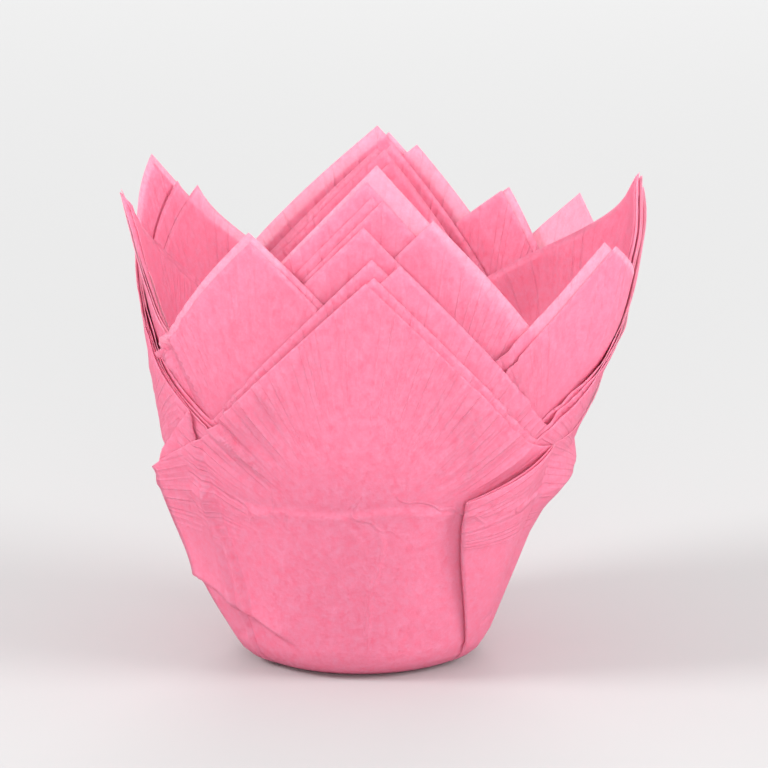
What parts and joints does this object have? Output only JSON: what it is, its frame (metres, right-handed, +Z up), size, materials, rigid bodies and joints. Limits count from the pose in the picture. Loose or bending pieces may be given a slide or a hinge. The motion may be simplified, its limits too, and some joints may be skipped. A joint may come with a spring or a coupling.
{
  "type": "tulip cupcake liner",
  "caption": "Nest of square greaseproof sheets pressed together into a tulip-shaped baking cup, with a flat round base, flared fluted walls and pointed petals standing round an open mouth.",
  "frame": {"origin": "centre of the flat base's underside, where the nest stands on a table", "axes": "+Z up out of the cup's mouth, -Y towards the front petals, whose tips climb sheet by sheet from the outermost to the innermost, +X to the right of them"},
  "size_m": [0.0952, 0.0858, 0.1056],
  "materials": {
    "greaseproof_paper": "matt, slightly translucent dyed greaseproof paper"
  },
  "bodies": {
    "root": {"outer_liner": "greaseproof_paper", "liner_02": "greaseproof_paper", "liner_03": "greaseproof_paper", "liner_04": "greaseproof_paper", "liner_05": "greaseproof_paper", "liner_06": "greaseproof_paper", "liner_07": "greaseproof_paper", "liner_08": "greaseproof_paper", "liner_09": "greaseproof_paper", "liner_10": "greaseproof_paper", "liner_11": "greaseproof_paper", "inner_liner": "greaseproof_paper"}
  },
  "joints": []
}
